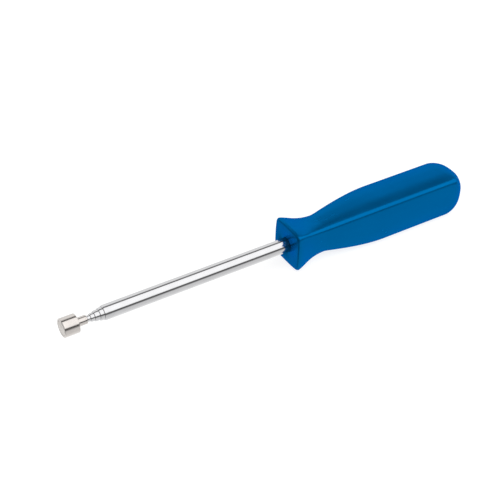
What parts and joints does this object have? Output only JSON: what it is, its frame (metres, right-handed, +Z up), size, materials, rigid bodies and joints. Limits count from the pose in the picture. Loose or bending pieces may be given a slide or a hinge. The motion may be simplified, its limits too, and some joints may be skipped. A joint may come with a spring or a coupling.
{
  "type": "telescopic magnetic pick-up tool",
  "caption": "Telescopic magnetic pick-up tool, closed: nested bright tubes with a small cylindrical magnet head, and a square moulded handle with a flared guard.",
  "frame": {"origin": "on the surface that the tool lies on, below the middle of the closed tool's length and on its axis's plane", "axes": "+X along the tool from the magnet to the end of the handle, +Z up, the handle resting on the flat land of one side of its body"},
  "size_m": [0.216, 0.022, 0.022],
  "materials": {
    "handle_plastic": "satin gloss moulded plastic, blue",
    "tube_chrome": "bright plated tube",
    "rod_steel": "bright plated rod",
    "sleeve_brass": "rolled spring brass",
    "plug_brass": "turned brass",
    "head_nickel": "warm nickel plate, turned",
    "magnet_nickel": "nickel-plated magnet, ground face"
  },
  "bodies": {
    "grip": {"handle": "handle_plastic", "outer_tube": "tube_chrome", "tube_end_plug": "plug_brass"},
    "second_tube_sleeves": {"second_tube_sleeve_a": "sleeve_brass", "second_tube_sleeve_b": "sleeve_brass"},
    "second_tube": {"second_tube": "tube_chrome"},
    "third_tube_sleeves": {"third_tube_sleeve_a": "sleeve_brass", "third_tube_sleeve_b": "sleeve_brass"},
    "third_tube": {"third_tube": "tube_chrome"},
    "fourth_tube_sleeves": {"fourth_tube_sleeve_a": "sleeve_brass", "fourth_tube_sleeve_b": "sleeve_brass"},
    "fourth_tube": {"fourth_tube": "tube_chrome"},
    "fifth_tube_sleeves": {"fifth_tube_sleeve_a": "sleeve_brass", "fifth_tube_sleeve_b": "sleeve_brass"},
    "fifth_tube": {"fifth_tube": "tube_chrome"},
    "tip_rod_sleeves": {"tip_rod_sleeve_a": "sleeve_brass", "tip_rod_sleeve_b": "sleeve_brass"},
    "tip_rod": {"tip_rod": "rod_steel", "magnet_housing": "head_nickel", "magnet": "magnet_nickel"}
  },
  "joints": [
    {"name": "second_tube_slide", "type": "slide", "parent": "grip", "child": "second_tube_sleeves", "axis": [-1, 0, 0], "range_m": [0, 0.0888]},
    {"name": "second_tube_spin", "type": "hinge", "parent": "second_tube_sleeves", "child": "second_tube", "pos_m": [0, 0, 0.011], "axis": [-1, 0, 0], "continuous": true},
    {"name": "third_tube_slide", "type": "slide", "parent": "second_tube", "child": "third_tube_sleeves", "axis": [-1, 0, 0], "range_m": [0, 0.0842]},
    {"name": "third_tube_spin", "type": "hinge", "parent": "third_tube_sleeves", "child": "third_tube", "pos_m": [0, 0, 0.011], "axis": [-1, 0, 0], "continuous": true},
    {"name": "fourth_tube_slide", "type": "slide", "parent": "third_tube", "child": "fourth_tube_sleeves", "axis": [-1, 0, 0], "range_m": [0, 0.0801]},
    {"name": "fourth_tube_spin", "type": "hinge", "parent": "fourth_tube_sleeves", "child": "fourth_tube", "pos_m": [0, 0, 0.011], "axis": [-1, 0, 0], "continuous": true},
    {"name": "fifth_tube_slide", "type": "slide", "parent": "fourth_tube", "child": "fifth_tube_sleeves", "axis": [-1, 0, 0], "range_m": [0, 0.0754]},
    {"name": "fifth_tube_spin", "type": "hinge", "parent": "fifth_tube_sleeves", "child": "fifth_tube", "pos_m": [0, 0, 0.011], "axis": [-1, 0, 0], "continuous": true},
    {"name": "tip_rod_slide", "type": "slide", "parent": "fifth_tube", "child": "tip_rod_sleeves", "axis": [-1, 0, 0], "range_m": [0, 0.0705]},
    {"name": "tip_rod_spin", "type": "hinge", "parent": "tip_rod_sleeves", "child": "tip_rod", "pos_m": [0, 0, 0.011], "axis": [-1, 0, 0], "continuous": true}
  ]
}
